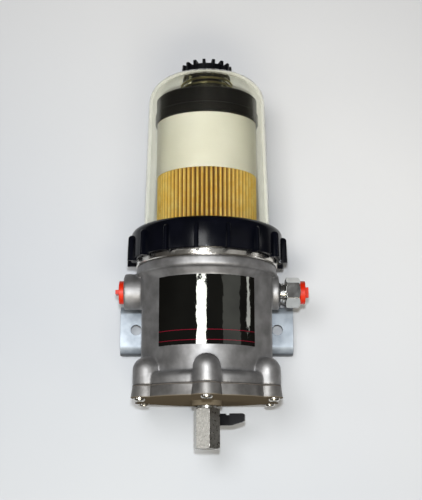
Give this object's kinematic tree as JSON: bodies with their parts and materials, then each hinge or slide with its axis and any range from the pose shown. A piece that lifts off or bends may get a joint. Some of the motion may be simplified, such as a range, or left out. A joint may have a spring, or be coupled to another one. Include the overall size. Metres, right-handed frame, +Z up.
{
  "type": "fuel filter housing",
  "caption": "Upright fuel filter housing: cast body with side ports and a wall bracket, clear screw-down cover over a pleated element, vent cap on top and a drain valve below.",
  "frame": {"origin": "middle of the bracket's two mounting holes, on the back face of its plate", "axes": "+Z up along the housing axis, +Y towards the wall the bracket is bolted to, +X to the right seen from the front"},
  "size_m": [0.184, 0.1593, 0.3748],
  "materials": {
    "cast": "as-cast satin",
    "cast_cover": "as-cast satin",
    "clear": "clear, slightly yellow",
    "black_gloss": "glossy black",
    "black": "satin black",
    "pleats": "pleated filter paper",
    "sleeve": "cream printed sleeve, left bare",
    "foil": "dark mirror foil",
    "rubber": "matt",
    "spring_steel": "bright wire",
    "zinc": "bright zinc plate",
    "fitting": "bright plated, turned",
    "drain": "nickel plate",
    "screw": "bright",
    "tube": "perforated sheet",
    "pipe": "drawn",
    "seat": "white",
    "orange": "moulded, orange red"
  },
  "bodies": {
    "housing": {"housing_body": "cast", "bottom_cover": "cast_cover", "bottom_gasket": "rubber", "bottom_screws": "screw", "body_label": "foil", "cover_seal": "rubber", "filter_top_cap": "black", "filter_media": "pleats", "filter_label": "sleeve", "filter_centre_tube": "tube", "filter_bottom_cap": "black", "filter_grommet": "rubber", "standpipe": "pipe", "drain_body": "drain", "drain_seats": "seat", "inlet_fitting": "fitting", "inlet_fitting_seal": "rubber", "check_spring": "spring_steel", "check_retainer": "screw", "mounting_bracket": "zinc", "bracket_bolts": "screw", "bracket_washers": "screw"},
    "spring": {"filter_spring": "spring_steel"},
    "cover": {"clear_cover": "clear"},
    "collar": {"collar": "black_gloss"},
    "cap_seal": {"vent_cap_seal": "rubber"},
    "vent_cap": {"vent_cap": "black"},
    "drain_valve": {"drain_ball": "drain", "drain_stem": "drain", "drain_lever": "black", "drain_lever_nut": "screw"},
    "check_ball": {"check_ball": "screw"},
    "outlet_plug": {"outlet_plug": "orange"},
    "inlet_plug": {"inlet_plug": "orange"}
  },
  "joints": [
    {"name": "cover_rise", "type": "slide", "parent": "housing", "child": "spring", "axis": [0, 0, 1], "range_m": [0, 0.018], "deforming": ["filter_spring"]},
    {"name": "cover_lift_off", "type": "slide", "parent": "spring", "child": "cover", "axis": [0, 0, 1], "range_m": [0, 0.16]},
    {"name": "collar_unscrew", "type": "hinge", "parent": "cover", "child": "collar", "pos_m": [0, -0.065, 0.0675], "axis": [0, 0, 1], "range_deg": [0, 1080]},
    {"name": "vent_cap_rise", "type": "slide", "parent": "cover", "child": "cap_seal", "axis": [0, 0, 1], "range_m": [0, 0.012]},
    {"name": "vent_cap_unscrew", "type": "hinge", "parent": "cap_seal", "child": "vent_cap", "pos_m": [0, -0.065, 0.2445], "axis": [0, 0, 1], "range_deg": [0, 1440]},
    {"name": "drain_turn", "type": "hinge", "parent": "housing", "child": "drain_valve", "pos_m": [0, -0.065, -0.0915], "axis": [0.3173, 0.9483, 0], "range_deg": [0, 90]},
    {"name": "check_ball_open", "type": "slide", "parent": "housing", "child": "check_ball", "axis": [-1, 0, 0], "range_m": [0, 0.003], "stiffness_N_per_m": 50, "springref_m": -0.003, "deforming": ["check_spring"]},
    {"name": "outlet_plug_pull", "type": "slide", "parent": "housing", "child": "outlet_plug", "axis": [-1, 0, 0], "range_m": [0, 0.012]},
    {"name": "inlet_plug_pull", "type": "slide", "parent": "housing", "child": "inlet_plug", "axis": [1, 0, 0], "range_m": [0, 0.012]}
  ],
  "couplings": [
    {"joint": "cover_rise", "follows": "collar_unscrew", "m_per_rad": 0.00095493},
    {"joint": "vent_cap_rise", "follows": "vent_cap_unscrew", "m_per_rad": 0.00047746}
  ]
}
